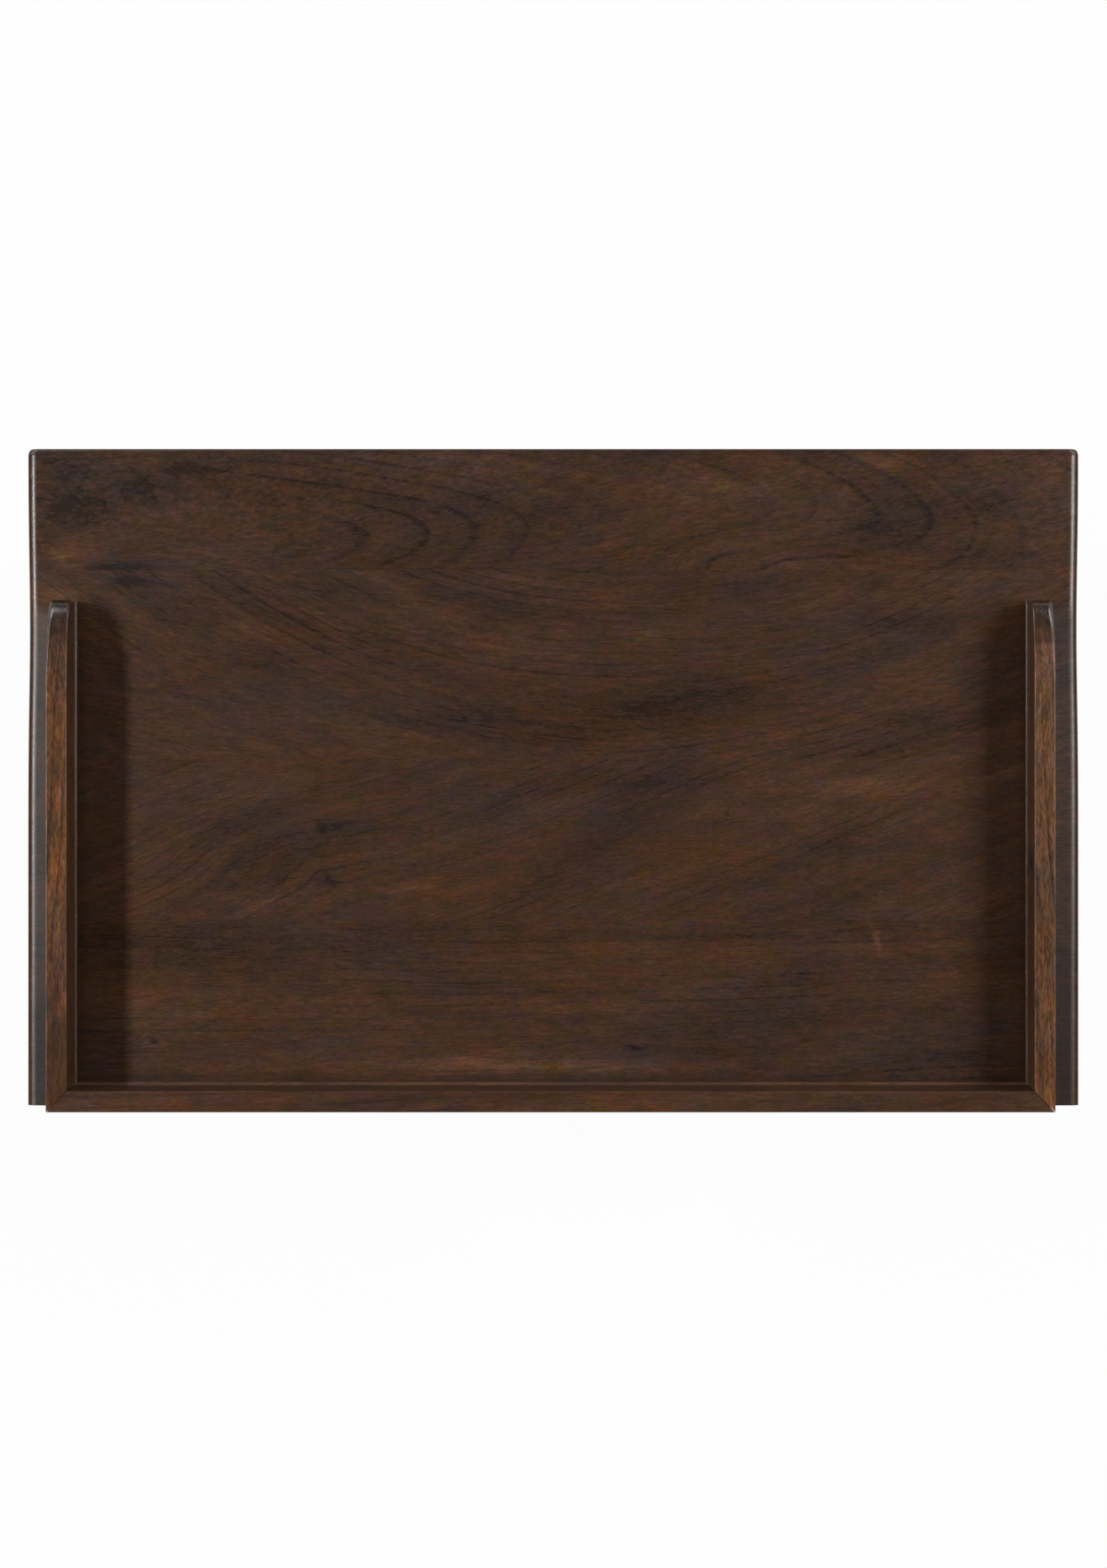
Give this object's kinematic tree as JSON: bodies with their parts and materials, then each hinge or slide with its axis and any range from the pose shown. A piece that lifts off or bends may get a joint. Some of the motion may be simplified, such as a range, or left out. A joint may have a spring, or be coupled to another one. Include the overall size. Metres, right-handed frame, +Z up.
{
  "type": "nightstand",
  "caption": "Dark wood nightstand with a low gallery rail on three sides of its top, over a case of drawers on tapered legs.",
  "frame": {"origin": "on the floor, under the middle of the top", "axes": "+Z up, the drawer fronts face -Y, +X to the right of someone facing the drawers"},
  "size_m": [0.711, 0.444, 0.68],
  "materials": {
    "dark_wood": "dark stain under satin lacquer",
    "drawer_wood": "clear sealed, unstained",
    "plywood": "clear sealed veneer",
    "aged_bronze": "dark patina, rubbed on the rim",
    "zinc_steel": "zinc plated",
    "glide_nylon": "matt black"
  },
  "bodies": {
    "case": {"top_panel": "dark_wood", "gallery_back": "dark_wood", "gallery_left": "dark_wood", "gallery_right": "dark_wood", "gallery_screw_1": "zinc_steel", "gallery_screw_2": "zinc_steel", "gallery_screw_3": "zinc_steel", "gallery_screw_4": "zinc_steel", "gallery_screw_5": "zinc_steel", "gallery_screw_6": "zinc_steel", "gallery_screw_7": "zinc_steel", "top_screw_1": "zinc_steel", "top_screw_2": "zinc_steel", "top_screw_3": "zinc_steel", "top_screw_4": "zinc_steel", "leg_front_left": "dark_wood", "leg_front_right": "dark_wood", "leg_back_left": "dark_wood", "leg_back_right": "dark_wood", "glide_front_left": "glide_nylon", "glide_front_right": "glide_nylon", "glide_back_left": "glide_nylon", "glide_back_right": "glide_nylon", "side_panel_left": "dark_wood", "side_panel_right": "dark_wood", "back_panel": "plywood", "top_front_rail": "dark_wood", "middle_front_rail": "dark_wood", "bottom_front_rail": "dark_wood", "top_back_rail": "dark_wood", "middle_back_rail": "dark_wood", "bottom_back_rail": "dark_wood", "lower_runner_left": "drawer_wood", "lower_runner_right": "drawer_wood", "upper_runner_left": "drawer_wood", "upper_runner_right": "drawer_wood", "kicker_left": "drawer_wood", "kicker_right": "drawer_wood", "lower_drawer_stop": "drawer_wood", "upper_drawer_stop": "drawer_wood"},
    "lower_drawer": {"lower_drawer_front": "dark_wood", "lower_drawer_side_left": "drawer_wood", "lower_drawer_side_right": "drawer_wood", "lower_drawer_back": "drawer_wood", "lower_drawer_bottom": "plywood", "lower_knob_left": "aged_bronze", "lower_knob_right": "aged_bronze", "lower_knob_screw_left": "zinc_steel", "lower_knob_screw_right": "zinc_steel"},
    "upper_drawer": {"upper_drawer_front": "dark_wood", "upper_drawer_side_left": "drawer_wood", "upper_drawer_side_right": "drawer_wood", "upper_drawer_back": "drawer_wood", "upper_drawer_bottom": "plywood", "upper_knob_left": "aged_bronze", "upper_knob_right": "aged_bronze", "upper_knob_screw_left": "zinc_steel", "upper_knob_screw_right": "zinc_steel"}
  },
  "joints": [
    {"name": "lower_drawer_slide", "type": "slide", "parent": "case", "child": "lower_drawer", "axis": [0, -1, 0], "range_m": [0, 0.275]},
    {"name": "upper_drawer_slide", "type": "slide", "parent": "case", "child": "upper_drawer", "axis": [0, -1, 0], "range_m": [0, 0.275]}
  ]
}
